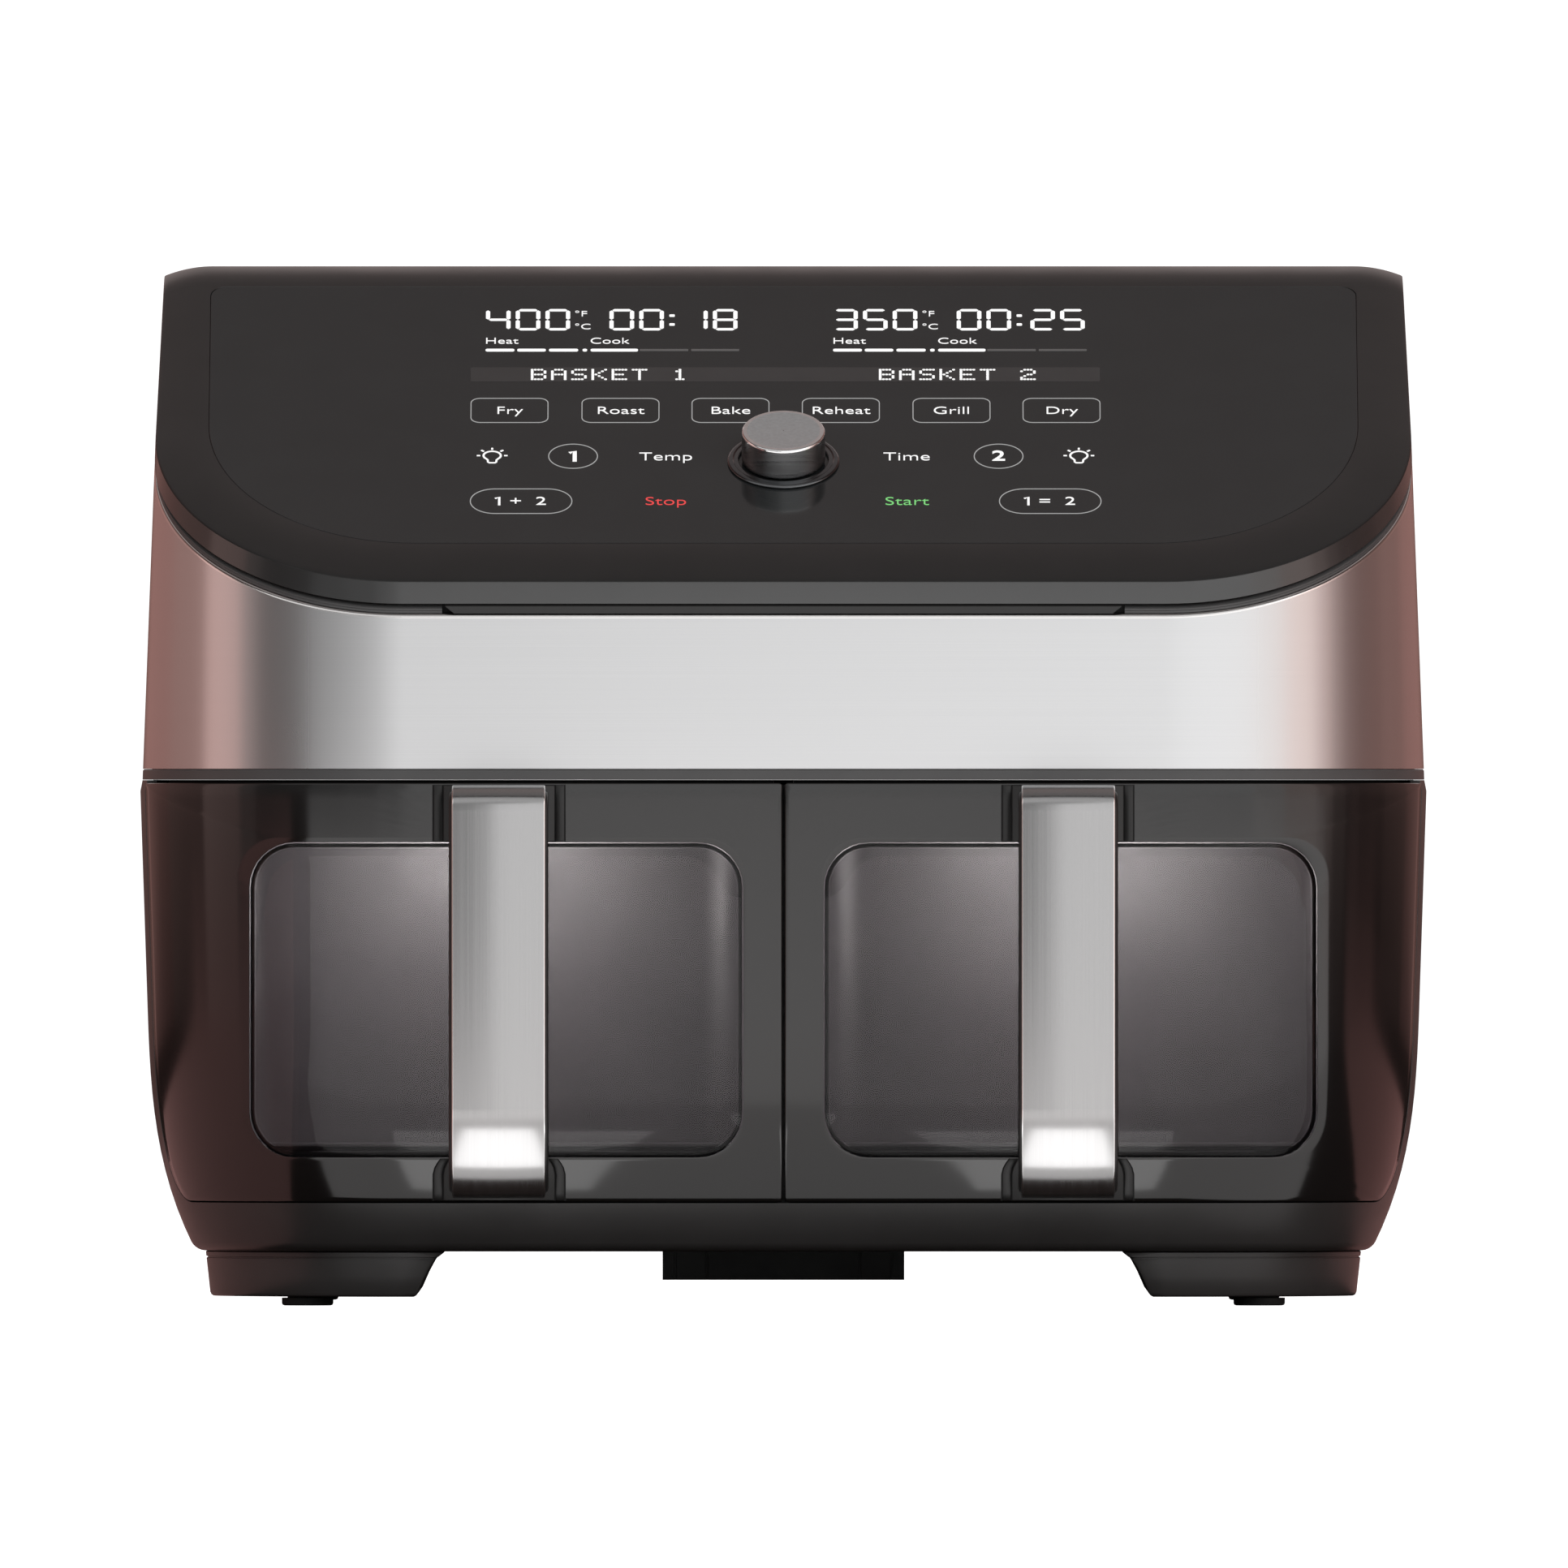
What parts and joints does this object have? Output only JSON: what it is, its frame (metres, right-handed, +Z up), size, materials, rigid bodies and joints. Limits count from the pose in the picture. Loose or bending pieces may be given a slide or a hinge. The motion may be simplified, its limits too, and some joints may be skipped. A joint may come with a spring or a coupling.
{
  "type": "air fryer",
  "caption": "Countertop air fryer with two windowed pull-out baskets, strap handles, a steel band and a sloped touch panel with a dial.",
  "frame": {"origin": "centre of the overall footprint, at the underside of the rubber feet", "axes": "+Z up, +X to the right seen from the front, the drawers face -Y"},
  "size_m": [0.4008, 0.384, 0.3243],
  "materials": {
    "dark_plastic": "dark warm grey moulded plastic, satin",
    "grey_plastic": "mid grey moulded plastic, satin",
    "black_plastic": "black moulded plastic",
    "panel_gloss": "smooth dark touch overlay",
    "steel": "fine horizontal brush",
    "sheet_metal": "plain sheet steel",
    "coated_metal": "dark non-stick coating",
    "glass": "lightly tinted clear glass",
    "rubber": "soft black rubber",
    "silicone": "dark silicone",
    "circuit_board": "green solder mask",
    "lamp_glass": "frosted warm lamp cover"
  },
  "bodies": {
    "housing": {"base_tub": "dark_plastic", "lid_shell": "dark_plastic", "left_foot_rail": "dark_plastic", "right_foot_rail": "dark_plastic", "deck_plate": "grey_plastic", "lid_trim": "grey_plastic", "dial_bezel": "grey_plastic", "rear_spacer": "black_plastic", "rear_cover": "black_plastic", "lid_gasket": "black_plastic", "encoder": "black_plastic", "cord_gland": "black_plastic", "left_drawer_switch": "black_plastic", "right_drawer_switch": "black_plastic", "touch_panel": "panel_gloss", "steel_band": "steel", "left_chamber": "sheet_metal", "right_chamber": "sheet_metal", "left_air_hood": "sheet_metal", "right_air_hood": "sheet_metal", "left_heating_element": "sheet_metal", "right_heating_element": "sheet_metal", "left_element_guard": "sheet_metal", "right_element_guard": "sheet_metal", "left_motor": "sheet_metal", "right_motor": "sheet_metal", "front_left_foot": "rubber", "front_right_foot": "rubber", "rear_left_foot": "rubber", "rear_right_foot": "rubber", "control_board": "circuit_board", "power_board": "circuit_board", "left_chamber_lamp": "lamp_glass", "right_chamber_lamp": "lamp_glass"},
    "left_drawer": {"left_drawer_front": "dark_plastic", "left_drawer_frame": "black_plastic", "left_window_glass": "glass", "left_inner_glass": "glass", "left_window_seal": "silicone", "left_handle_strap": "steel", "left_handle_core": "black_plastic", "left_basket": "coated_metal"},
    "right_drawer": {"right_drawer_front": "dark_plastic", "right_drawer_frame": "black_plastic", "right_window_glass": "glass", "right_inner_glass": "glass", "right_window_seal": "silicone", "right_handle_strap": "steel", "right_handle_core": "black_plastic", "right_basket": "coated_metal"},
    "left_tray": {"left_crisper_tray": "coated_metal"},
    "right_tray": {"right_crisper_tray": "coated_metal"},
    "dial_knob": {"dial": "grey_plastic"},
    "left_fan": {"left_fan_rotor": "sheet_metal"},
    "right_fan": {"right_fan_rotor": "sheet_metal"},
    "left_plunger": {"left_switch_plunger": "black_plastic"},
    "right_plunger": {"right_switch_plunger": "black_plastic"}
  },
  "joints": [
    {"name": "left_drawer_slide", "type": "slide", "parent": "housing", "child": "left_drawer", "axis": [0, -1, 0], "range_m": [0, 0.3]},
    {"name": "right_drawer_slide", "type": "slide", "parent": "housing", "child": "right_drawer", "axis": [0, -1, 0], "range_m": [0, 0.3]},
    {"name": "left_tray_lift", "type": "slide", "parent": "left_drawer", "child": "left_tray", "axis": [0, 0, 1], "range_m": [0, 0.1]},
    {"name": "right_tray_lift", "type": "slide", "parent": "right_drawer", "child": "right_tray", "axis": [0, 0, 1], "range_m": [0, 0.1]},
    {"name": "dial_turn", "type": "hinge", "parent": "housing", "child": "dial_knob", "pos_m": [0, -0.0874, 0.26252], "axis": [0, -0.5, 0.866], "continuous": true},
    {"name": "left_fan_spin", "type": "hinge", "parent": "housing", "child": "left_fan", "pos_m": [-0.093, -0.005, 0.19], "axis": [0, 0, 1], "continuous": true},
    {"name": "right_fan_spin", "type": "hinge", "parent": "housing", "child": "right_fan", "pos_m": [0.093, -0.005, 0.19], "axis": [0, 0, 1], "continuous": true},
    {"name": "left_plunger_press", "type": "slide", "parent": "housing", "child": "left_plunger", "axis": [0, 1, 0], "range_m": [0, 0.0015], "stiffness_N_per_m": 300, "springref_m": -0.001},
    {"name": "right_plunger_press", "type": "slide", "parent": "housing", "child": "right_plunger", "axis": [0, 1, 0], "range_m": [0, 0.0015], "stiffness_N_per_m": 300, "springref_m": -0.001}
  ]
}
